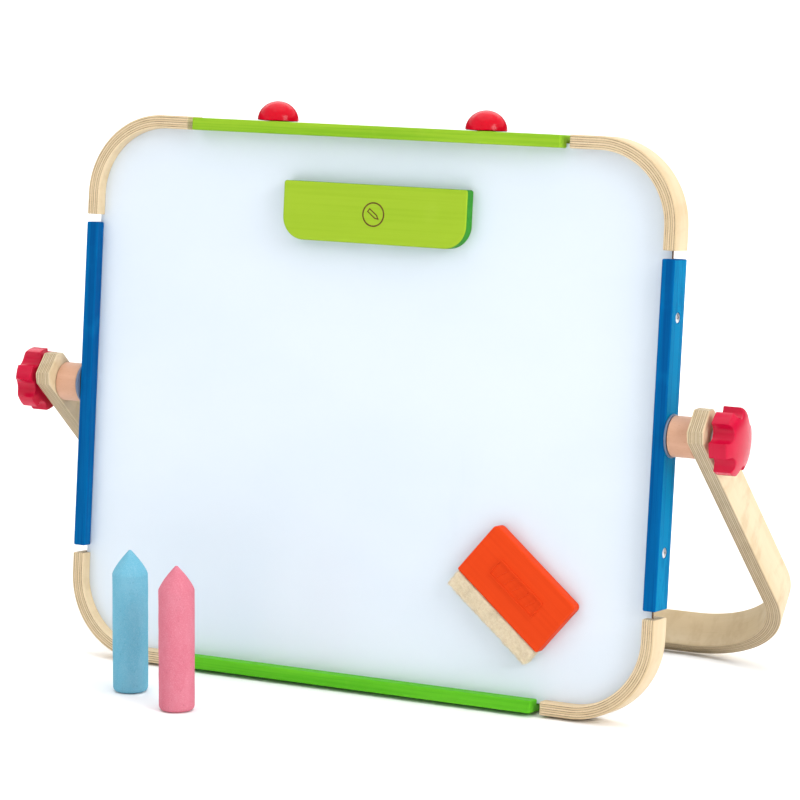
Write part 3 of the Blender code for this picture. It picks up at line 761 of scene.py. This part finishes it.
# ---- rails
def rail_section(face, depth, floor, sign):
    """Cross-section with the panel's groove, in (through, forward); sign says which way is outwards."""
    half, edge = depth / 2, face / 2
    points = [(edge, -half), (edge, half), (-edge, half), (-edge, GROOVE / 2), (floor, GROOVE / 2),
              (floor, -GROOVE / 2), (-edge, -GROOVE / 2), (-edge, -half)]
    return [(sign * x, y) for x, y in points]


for name, sign in (("top_rail", 1), ("bottom_rail", -1)):
    middle = MIDDLE + sign * (MIDDLE - TOP_INSET - TOP_FACE / 2)
    floor = (MIDDLE - FACE + GROOVE_DEPTH) - (MIDDLE - TOP_INSET - TOP_FACE / 2)
    section = [(y, x) for x, y in rail_section(TOP_FACE, TOP_DEPTH, floor, sign)]
    rail = prism("look_" + name, section, -TOP_LENGTH / 2, TOP_LENGTH / 2, axis="X")
    bake(rounded(rail, EASE, 4), sharp=40)
    settle(rail, "green" if sign > 0 else "green_low", on_board(0, 0, middle), "board", "green_paint", name)

side_middle = WIDTH / 2 - FACE / 2
for side, sx, facing in sides():
    section = rail_section(FACE, DEPTH, GROOVE_DEPTH - FACE / 2, sx)
    rail = prism("look_" + side + "_rail", section, -SIDE_LENGTH / 2, SIDE_LENGTH / 2, axis="Z")
    bake(rounded(rail, EASE, 4))
    holes = []
    for sy in (1, -1):
        profile = [(0, 0.0012), (0.0016, 0.0012), (0.0016, 0.0020), (SCREW_HEAD + 0.0002, FACE / 2 - 0.0004),
                   (SCREW_HEAD + 0.0005, 0.02), (0, 0.02)]
        hole = lathe("hole", profile, axis="X", steps=48)
        hole.data.transform(Matrix.Translation((0, 0, sy * SCREW_OFFSET)) @ facing)
        holes.append(hole)
    carve(rail, *holes)
    shade(rail.data, 40)
    swap_grain(rail, [2, 1, 0])
    # the outer side faces: they get the lighter blue copy, painted light on the side the lamp falls on
    outer = [face.index for face in rail.data.polygons
             if sx * face.normal.x > 0.9 and abs(face.center.x) > FACE / 2 - 0.001]
    settle(rail, "blue", on_board(sx * side_middle, 0, MIDDLE), "board", "blue_paint", side + "_rail")
    second_look(rail, "blue_edge", outer)

    for level, sy in LEVELS:
        face = FACE / 2
        stem = [(0, SCREW_FOOT), (SCREW_STEM, SCREW_FOOT), (SCREW_STEM, face - 0.0021)]
        head = [(SCREW_HEAD, face - 0.0004), (SCREW_HEAD - 0.0003, face - 0.0001),
                (0.0010, face + 0.0003), (0, face + 0.0003)]
        profile = filleted(stem + head, [0.0002, 0.0002, 0.0001, 0.0001, 0.001])
        screw = lathe("look_rail_screw_" + side + "_" + level, profile, axis="X", steps=64, sharp=38)
        arms = []
        for turn in (0, 90):
            corners = [(sx * CROSS_REACH, sy * CROSS_HALF) for sx, sy in ((-1, -1), (1, -1), (1, 1), (-1, 1))]
            cutter = prism("arm", corners, face - CROSS_DEPTH, face + 0.002, axis="X")
            cutter.data.transform(Matrix.Rotation(math.radians(turn + 18 * sy), 4, "X"))
            arms.append(cutter)
        carve(screw, *arms)
        shade(screw.data, 38)
        place = on_board(sx * side_middle, 0, MIDDLE + sy * SCREW_OFFSET) @ facing
        settle(screw, "zinc", place, "board", "zinc_steel", "rail_screw_" + side + "_" + level)

# ---- panel
core_half = (WIDTH / 2 - PANEL_EDGE, MIDDLE - PANEL_EDGE)
core = prism("look_panel_core", rounded_outline(*core_half, [CORNER - PANEL_EDGE] * 4, 24), -CORE / 2, CORE / 2)
settle(core, "hardboard", on_board(0, 0, MIDDLE), "board", "hardboard", "panel_core")
sheet_outline = rounded_outline(*(h - GAP for h in core_half), [CORNER - PANEL_EDGE - GAP] * 4, 24)
for name, look, side in (("whiteboard_sheet", "white_enamel", 1), ("chalkboard_sheet", "chalkboard", -1)):
    sheet = prism("look_" + name, sheet_outline, -SHEET / 2, SHEET / 2)
    bake(rounded(sheet, 0.00015, 2), sharp=40)
    swap_grain(sheet, [0, 2, 1])
    settle(sheet, look, on_board(0, side * (SHEET_FACE - SHEET / 2), MIDDLE), "board", look, name)

# ---- domes, pivots and knobs
for side, sx, facing in sides():
    turns = np.linspace(0.03, math.pi / 2, 26)[:-1]
    cap = [(DOME_RADIUS * math.cos(t), GAP + DOME_HEIGHT * math.sin(t)) for t in turns]
    peg = [(0, -0.0030), (0.0030, -0.0030), (0.0030, 0.0), (DOME_RADIUS - 0.0008, GAP)]
    dome = lathe("look_dome_" + side, peg + cap + [(0, GAP + DOME_HEIGHT)], sharp=50)
    place = on_board(sx * DOME_SPREAD, 0, HEIGHT - TOP_INSET)
    settle(dome, "red_lacquer", place, "board", "red_paint", "dome_" + side)


def tube(name, outer, low, high, ease):
    """A washer or sleeve with eased rims, lying on the pivot axis."""
    middle = (low + high) / 2
    outline = [(BOLT_HOLE, middle), (BOLT_HOLE, low), (outer, low), (outer, high), (BOLT_HOLE, high),
               (BOLT_HOLE, middle + 0.00001)]
    return lathe(name, filleted(outline, [ease * 0.5, ease, ease, ease * 0.5]), axis="X")


def knob_mesh(name):
    """Star knob: flat hub, scalloped skirt that runs out through a smooth domed face."""
    skirt_low = KNOB_X + KNOB_HUB
    skirt_high = skirt_low + KNOB_SKIRT
    steps, ease, blend = 384, 0.0006, 0.0005

    def outline(turn):
        """Rim radius at a turn: the circle less the scallops, with their lips blended."""
        step = 2 * math.pi / KNOB_LOBES
        offset = (turn - math.radians(16)) % step
        offset = min(offset, step - offset)
        inside = KNOB_SCALLOP ** 2 - (KNOB_RADIUS * math.sin(offset)) ** 2
        if inside <= 0:
            return KNOB_RADIUS
        scallop = KNOB_RADIUS * math.cos(offset) - math.sqrt(inside)
        gap = max(0.0, min(1.0, 0.5 + (scallop - KNOB_RADIUS) / (2 * blend)))
        return scallop * (1 - gap) + KNOB_RADIUS * gap - blend * gap * (1 - gap)

    def cap(radius):
        """Height of the domed face at a radius."""
        return skirt_high + KNOB_DOME * math.sqrt(max(0.0, 1 - (radius / (KNOB_RADIUS * 1.035)) ** 2)) - 0.0002

    hub = filleted([(BOLT + GAP, KNOB_X + 0.004), (BOLT + GAP, KNOB_X), (0.0095, KNOB_X), (0.0100, skirt_low),
                    (0.0140, skirt_low)], [0.0003, 0.0004, 0.0006])
    rings = [[point] * steps for point in hub]
    turns = [2 * math.pi * i / steps for i in range(steps)]
    rims = [outline(t) for t in turns]
    insets = [rim - 1.2 * ease for rim in rims]
    for t in np.linspace(0, math.pi / 2, 7):
        rings.append([(rim - ease + ease * math.sin(t), skirt_low + ease - ease * math.cos(t)) for rim in rims])
    for part in (0.33, 0.66):
        rings.append([(rim, skirt_low + ease + (cap(rim) - ease - skirt_low - ease) * part) for rim in rims])
    for t in np.linspace(0, 1, 7):
        rings.append([])
        for rim, inset in zip(rims, insets):
            bends = zip((rim, cap(rim) - ease), (rim, cap(rim)), (inset, cap(inset)))
            rings[-1].append([a * (1 - t) ** 2 + 2 * b * t * (1 - t) + c * t * t for a, b, c in bends])
    for share in np.linspace(0.94, 0.04, 22):
        rings.append([(inset * share, cap(inset * share)) for inset in insets])
    verts = [(x, -r * math.cos(t), r * math.sin(t)) for ring in rings for t, (r, x) in zip(turns, ring)]
    verts += [(cap(0.0), 0.0, 0.0), (KNOB_X + 0.004, 0.0, 0.0)]
    faces = []
    last = (len(rings) - 1) * steps
    for i in range(steps):
        j = (i + 1) % steps
        faces += [(k + i, k + j, k + steps + j, k + steps + i) for k in range(0, last, steps)]
        faces += [(last + i, last + j, len(verts) - 2), (j, i, len(verts) - 1)]
    return mesh_piece(name, verts, faces, sharp=50)


for side, sx, facing in sides():
    place = on_board(0, 0, MIDDLE) @ facing
    for part, look, slot, radius, start, length, ease in (
        ("pivot_washer_", "grey_plastic", "grey_plastic", WASHER_RADIUS, WASHER_X, WASHER, 0.0004),
        ("spacer_", "beech", "beech", SPACER_RADIUS, SPACER_X, SPACER, 0.0007),
        ("knob_washer_", "zinc", "zinc_steel", KNOB_WASHER_RADIUS, KNOB_WASHER_X, WASHER, 0.0003),
    ):
        ring = tube("look_" + part + side, radius, start, start + length, ease)
        settle(ring, look, place, "board", slot, part + side)
    knob = knob_mesh("look_knob_" + side)
    settle(knob, "red_plastic", place, "knob_" + side, "red_plastic", "knob_" + side)

# ---- clip with a small burnt mark
half = (CLIP_SIZE[0] / 2, CLIP_SIZE[2] / 2)
clip = prism("look_clip_plate", rounded_outline(*half, [0.0016, 0.0016, CLIP_CORNER, CLIP_CORNER], 20),
             -CLIP_SIZE[1] / 2, CLIP_SIZE[1] / 2)
bake(rounded(clip, 0.0010, 4), sharp=40)
place = on_board(CLIP_CENTRE[0], SHEET_FACE + GAP + CLIP_SIZE[1] / 2, CLIP_CENTRE[1])
# the side faces: they get a darker green copy of the lime, painted shade on the clip's sides
clip_shaded_sides = [face.index for face in clip.data.polygons if abs(face.normal.y) < 0.5]
settle(clip, "lime", place, "clip", "lime_paint", "clip_plate")
second_look(clip, "lime_edge", clip_shaded_sides)


def band(name, outer, inner, low, high):
    """A flat outline with a hole of matching shape, run forward from low to high."""
    count = len(outer)
    verts = [(x, y, z) for y in (low, high) for ring in (outer, inner) for x, z in ring]
    faces = []
    for i in range(count):
        j = (i + 1) % count
        a, b, c, d = i, j, count + j, count + i
        e, f, g, h = (k + 2 * count for k in (a, b, c, d))
        faces += [(a, b, c, d), (e, h, g, f), (a, e, f, b), (d, c, g, h)]
    return mesh_piece(name, verts, faces, sharp=25)


# a ring with a pencil across it, drawn as thin raised scorch lines
front = -CLIP_SIZE[1] / 2
ring_out = arc_points(0, 0, 0.0074, 0, 360, 72)[:-1]
ring_in = arc_points(0, 0, 0.0065, 0, 360, 72)[:-1]
ring = band("mark", ring_out, ring_in, front - BURN, front + SUNK)
pencil = [(-0.0044, -0.0014), (0.0022, -0.0014), (0.0050, 0.0), (0.0022, 0.0014), (-0.0044, 0.0014)]
inner = [(-0.0037, -0.0007), (0.0019, -0.0007), (0.0034, 0.0), (0.0019, 0.0007), (-0.0037, 0.0007)]
line = band("mark_pencil", pencil, inner, front - BURN, front + SUNK)
line.data.transform(Matrix.Rotation(math.radians(38), 4, "Y"))
mark = merge("look_clip_mark", [ring, line])
settle(mark, "burnt", place, "clip", "lime_paint")

# ---- eraser: block, felt and fibres
half = (ERASER_SIZE[0] / 2, ERASER_SIZE[2] / 2)
block = prism("look_eraser_block", rounded_outline(*half, [0.0032, 0.0032, 0.0010, 0.0010], 8),
              -ERASER_SIZE[1] / 2, ERASER_SIZE[1] / 2)
bake(rounded(block, 0.0011, 4), sharp=40)
front = -ERASER_SIZE[1] / 2
frame_out = rounded_outline(0.0185, 0.0060, [0.0012] * 4, 6)
frame_in = rounded_outline(0.0177, 0.0052, [0.0006] * 4, 6)
raised = [band("raised", frame_out, frame_in, front - RELIEF, front + SUNK)]
for k in range(5):
    middle = (k - 2) * 0.0062
    slant = ((-0.0020, -0.0034), (-0.0008, -0.0034), (0.0020, 0.0034), (0.0008, 0.0034))
    outline = [(middle + x, z) for x, z in slant]
    raised.append(prism("bar", outline, front - RELIEF, front + SUNK))
block = merge("look_eraser_block", [block] + raised)
shade(block.data, 35)
eraser_place = on_board(ERASER_CENTRE[0], SHEET_FACE + GAP + ERASER_SIZE[1] / 2, ERASER_CENTRE[1], ERASER_TURN)
settle(block, "orange", eraser_place, "eraser", "orange_paint", "eraser_block")


def fibre_nodes():
    """Node group: short bent wool fibres strewn over a surface, lying mostly along it."""
    sizes = ("Density", "Length", "Thickness", "Lift")
    g, value = start_group("wool_fibres", *((label, "Float") for label in sizes), ("Seed", "Int"))

    def chance(low, high, shift=0):
        feed = {2: low, 3: high, "Seed": value["Seed"] + shift if shift else value["Seed"]}
        return g.add("FunctionNodeRandomValue", feed, 1, data_type="FLOAT")

    strewn = g.add("GeometryNodeDistributePointsOnFaces",
                   {"Mesh": value["Geometry"], "Density": value["Density"], "Seed": value["Seed"]})
    arc = g.add("GeometryNodeCurveQuadraticBezier",
                {"Resolution": 4, "Start": (-0.5, 0, 0), "Middle": (0.1, 0.35, 0.3), "End": (0.5, 0, 0.05)})
    spin = chance(-3.1416, 3.1416)
    tip = chance(-0.25, 0.25, 7)
    local = g.add("ShaderNodeCombineXYZ", {"X": tip, "Y": tip * value["Lift"], "Z": spin})
    lean = g.add("FunctionNodeEulerToRotation", {0: local})
    turned = g.add("FunctionNodeRotateRotation", {"Rotation": strewn.out("Rotation"), "Rotate By": lean},
                   rotation_space="LOCAL")
    size = chance(0.55, 1.25, 3)
    copies = g.add("GeometryNodeInstanceOnPoints",
                   {"Points": strewn, "Instance": arc, "Rotation": turned, "Scale": size * value["Length"]})
    wires = g.add("GeometryNodeRealizeInstances", {"Geometry": copies})
    circle = g.add("GeometryNodeCurvePrimitiveCircle", {"Resolution": 3, "Radius": value["Thickness"]})
    tubes = g.add("GeometryNodeCurveToMesh", {"Curve": wires, "Profile Curve": circle, "Fill Caps": True})
    return finish_group(g, tubes, g.add("GeometryNodeInputPosition"), value["Material"])


def felt_slab(name):
    """A slab of pressed felt: soft edges and an uneven, layered surface."""
    half = np.array([ERASER_SIZE[0] / 2 - 0.0010, ERASER_SIZE[1] / 2 - 0.0008, ERASER_FELT / 2])
    soft, uneven = 0.0012, wobble(11, 24, (1200, 1500, 2300))
    box = half - soft
    work = bmesh.new()
    bmesh.ops.create_cube(work, size=2.0)
    for axis, count in enumerate((100, 20, 18)):
        edges = [e for e in work.edges if abs((e.verts[1].co - e.verts[0].co)[axis]) > 1e-6]
        bmesh.ops.subdivide_edges(work, edges=edges, cuts=count, use_grid_fill=True)
    for v in work.verts:
        p = np.array(v.co) * half
        nearest = np.clip(p, -box, box)
        away = p - nearest
        length = np.linalg.norm(away)
        if length > 0:
            p = nearest + away / length * soft
            p = p + away / length * uneven(p) * 0.00045
        v.co = p
    return from_work(bpy.data.meshes.new(name), work, 60)


felt = felt_slab("look_eraser_felt")
fibres = add_object("look_felt_fibres", felt.data.copy())
add_nodes(fibres, fibre_nodes(), {
    "Density": 1300000.0, "Length": 0.0030, "Thickness": 0.000045, "Lift": 0.8, "Seed": 5,
    "Material": LOOKS["fibre"],
})
bake(fibres, sharp=60)
felt_place = eraser_place @ Matrix.Translation((0, 0, -(ERASER_SIZE[2] / 2 + GAP + ERASER_FELT / 2)))
settle(felt, "felt", felt_place, "eraser", "felt", "eraser_felt", soft=True)
settle(fibres, "fibre", felt_place, "eraser", "felt", soft=True)

# ---- chalk
def chalk_ripple(seed):
    """Shifts a radius a little; nothing moves on the axis."""
    uneven = wobble(seed, 18, (700, 700, 420))

    def ripple(turn, radius, height):
        p = np.array([radius * math.cos(turn), radius * math.sin(turn), height])
        return uneven(p) * 0.00022 * min(1.0, radius / 0.006)

    return ripple


for seed, (name, (across, forward)) in enumerate(CHALKS.items()):
    shoulder = CHALK_HEIGHT - CHALK_POINT
    wall = CHALK_RADIUS - 0.0001
    profile = filleted([(0, 0), (CHALK_RADIUS - 0.0002, 0), (wall, 0.030), (wall, shoulder)], [0.0032, 0.0], 10)
    rise, blunt = CHALK_POINT * 1.045, 0.93
    taper = [(CHALK_RADIUS * (1 - t ** 1.35), shoulder + rise * t) for t in np.linspace(0.04, blunt, 24)]
    slope = math.atan(CHALK_RADIUS * 1.35 * blunt ** 0.35 / rise)
    nose = taper[-1][0] / math.cos(slope)
    lift = taper[-1][1] - nose * math.sin(slope)
    turns = np.linspace(slope, math.pi / 2, 7)[1:]
    profile += taper + [(nose * math.cos(a), lift + nose * math.sin(a)) for a in turns]
    dense = [profile[0]]
    for (r, z), (next_r, next_z) in zip(profile, profile[1:]):
        parts = max(1, int(math.hypot(next_r - r, next_z - z) / 0.0008))
        for k in range(1, parts + 1):
            dense.append((r + (next_r - r) * k / parts, z + (next_z - z) * k / parts))
    dense[0], dense[-1] = (0.0, dense[0][1]), (0.0, dense[-1][1])
    stick = lathe("look_" + name, dense, steps=128, sharp=60, ripple=chalk_ripple(seed + 3))
    low = min(v.co.z for v in stick.data.vertices)
    place = Matrix.Translation((across, BACK + forward, -low))
    settle(stick, name, place, name, name + "_mix", name, soft=True)

# ---- what the frame keeps showing
KEPT = {
    "pivot_insert": "brass",
    "pivot_bolt": "bolt_zinc",
    "clip_magnet": "ferrite",
    "eraser_magnet": "ferrite",
}
for name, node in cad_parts.items():
    for start, look in KEPT.items():
        if name.startswith(start):
            finish(node, look)


# ---- floor, light and camera
def floor_look(g):
    cloud = g.noise(g.add("ShaderNodeTexCoord").out("Object"), 3.0, 3.0)
    colour = g.mix(cloud.step(0.3, 0.8), rgb(0.97, 0.97, 0.97), rgb(0.95, 0.95, 0.95))
    return {"Base Color": colour, "Roughness": 0.85 + cloud * 0.1}


floor = prism("floor", [(-40, -40), (40, -40), (40, 40), (-40, 40)], -0.012, -0.0002, axis="Z")
floor.data.materials.append(material("floor", floor_look))
floor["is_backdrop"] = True

# the sky lights the scene dimly; the camera sees it as a pale backdrop
SKY, SEEN_SKY = 0.12, 1.05
world = bpy.data.worlds.new("studio")
world.use_nodes = True
studio = Graph(world.node_tree)
soft_sky = world.node_tree.nodes["Background"]
soft_sky.inputs["Color"].default_value = (0.95, 0.98, 1.0, 1.0)
seen = studio.add("ShaderNodeLightPath").out("Is Camera Ray")
studio.put(soft_sky.inputs["Strength"], seen * (SEEN_SKY - SKY) + SKY)
bpy.context.scene.world = world
bpy.context.scene.view_settings.view_transform = "Standard"


def soft_light(name, spot, size, radiance, aim=(0, 0, 0.17), colour=(1, 1, 1)):
    """A rectangular soft box of the given width and height; radiance is how bright its face is."""
    data = bpy.data.lights.new(name, "AREA")
    data.shape, data.size, data.size_y = "RECTANGLE", size[0], size[1]
    data.energy, data.color = radiance * math.pi * size[0] * size[1], colour
    made = add_object(name, data)
    made.location = spot
    made.rotation_euler = (Vector(aim) - Vector(spot)).to_track_quat("-Z", "Y").to_euler()
    made.visible_camera = False
    made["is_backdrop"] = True


soft_light("sheen", (-1.10, -2.22, 0.55), (2.9, 1.7), 0.45, (0, 0, 0.2), (0.96, 0.98, 1.0))
soft_light("side", (2.7, -0.9, 1.5), (1.4, 1.4), 8.0)
soft_light("top", (-0.2, 0.2, 3.2), (3.0, 3.0), 1.1)
soft_light("ceiling", (0, 0, 10), (60, 60), 0.95, (0, 0.001, 0))
soft_light("backdrop", (-1.8, 3.6, 3.2), (6.0, 4.5), 1.2, (-1.9, 3.9, 0))
soft_light("horizon", (-5.5, 11.0, 3.2), (9.0, 6.0), 1.5, (-5.8, 12.0, 0))

lens = bpy.data.cameras.new("camera")
lens.sensor_width = 36.0
lens.lens = 146.25
lens.clip_end = 200.0
camera = add_object("camera", lens)
# where the camera stands, and how far it is turned aside, tipped down and rolled
STAND_AT = (0.8884, -1.7006 + BACK, 0.4884)
ASIDE, DOWN, ROLL = 26.775, 9.203, 0.486
aim = Matrix.Rotation(math.radians(ASIDE), 4, "Z") @ Matrix.Rotation(math.radians(90 - DOWN), 4, "X")
camera.matrix_world = Matrix.Translation(STAND_AT) @ aim @ Matrix.Rotation(math.radians(ROLL), 4, "Z")
bpy.context.scene.camera = camera

low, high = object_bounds()
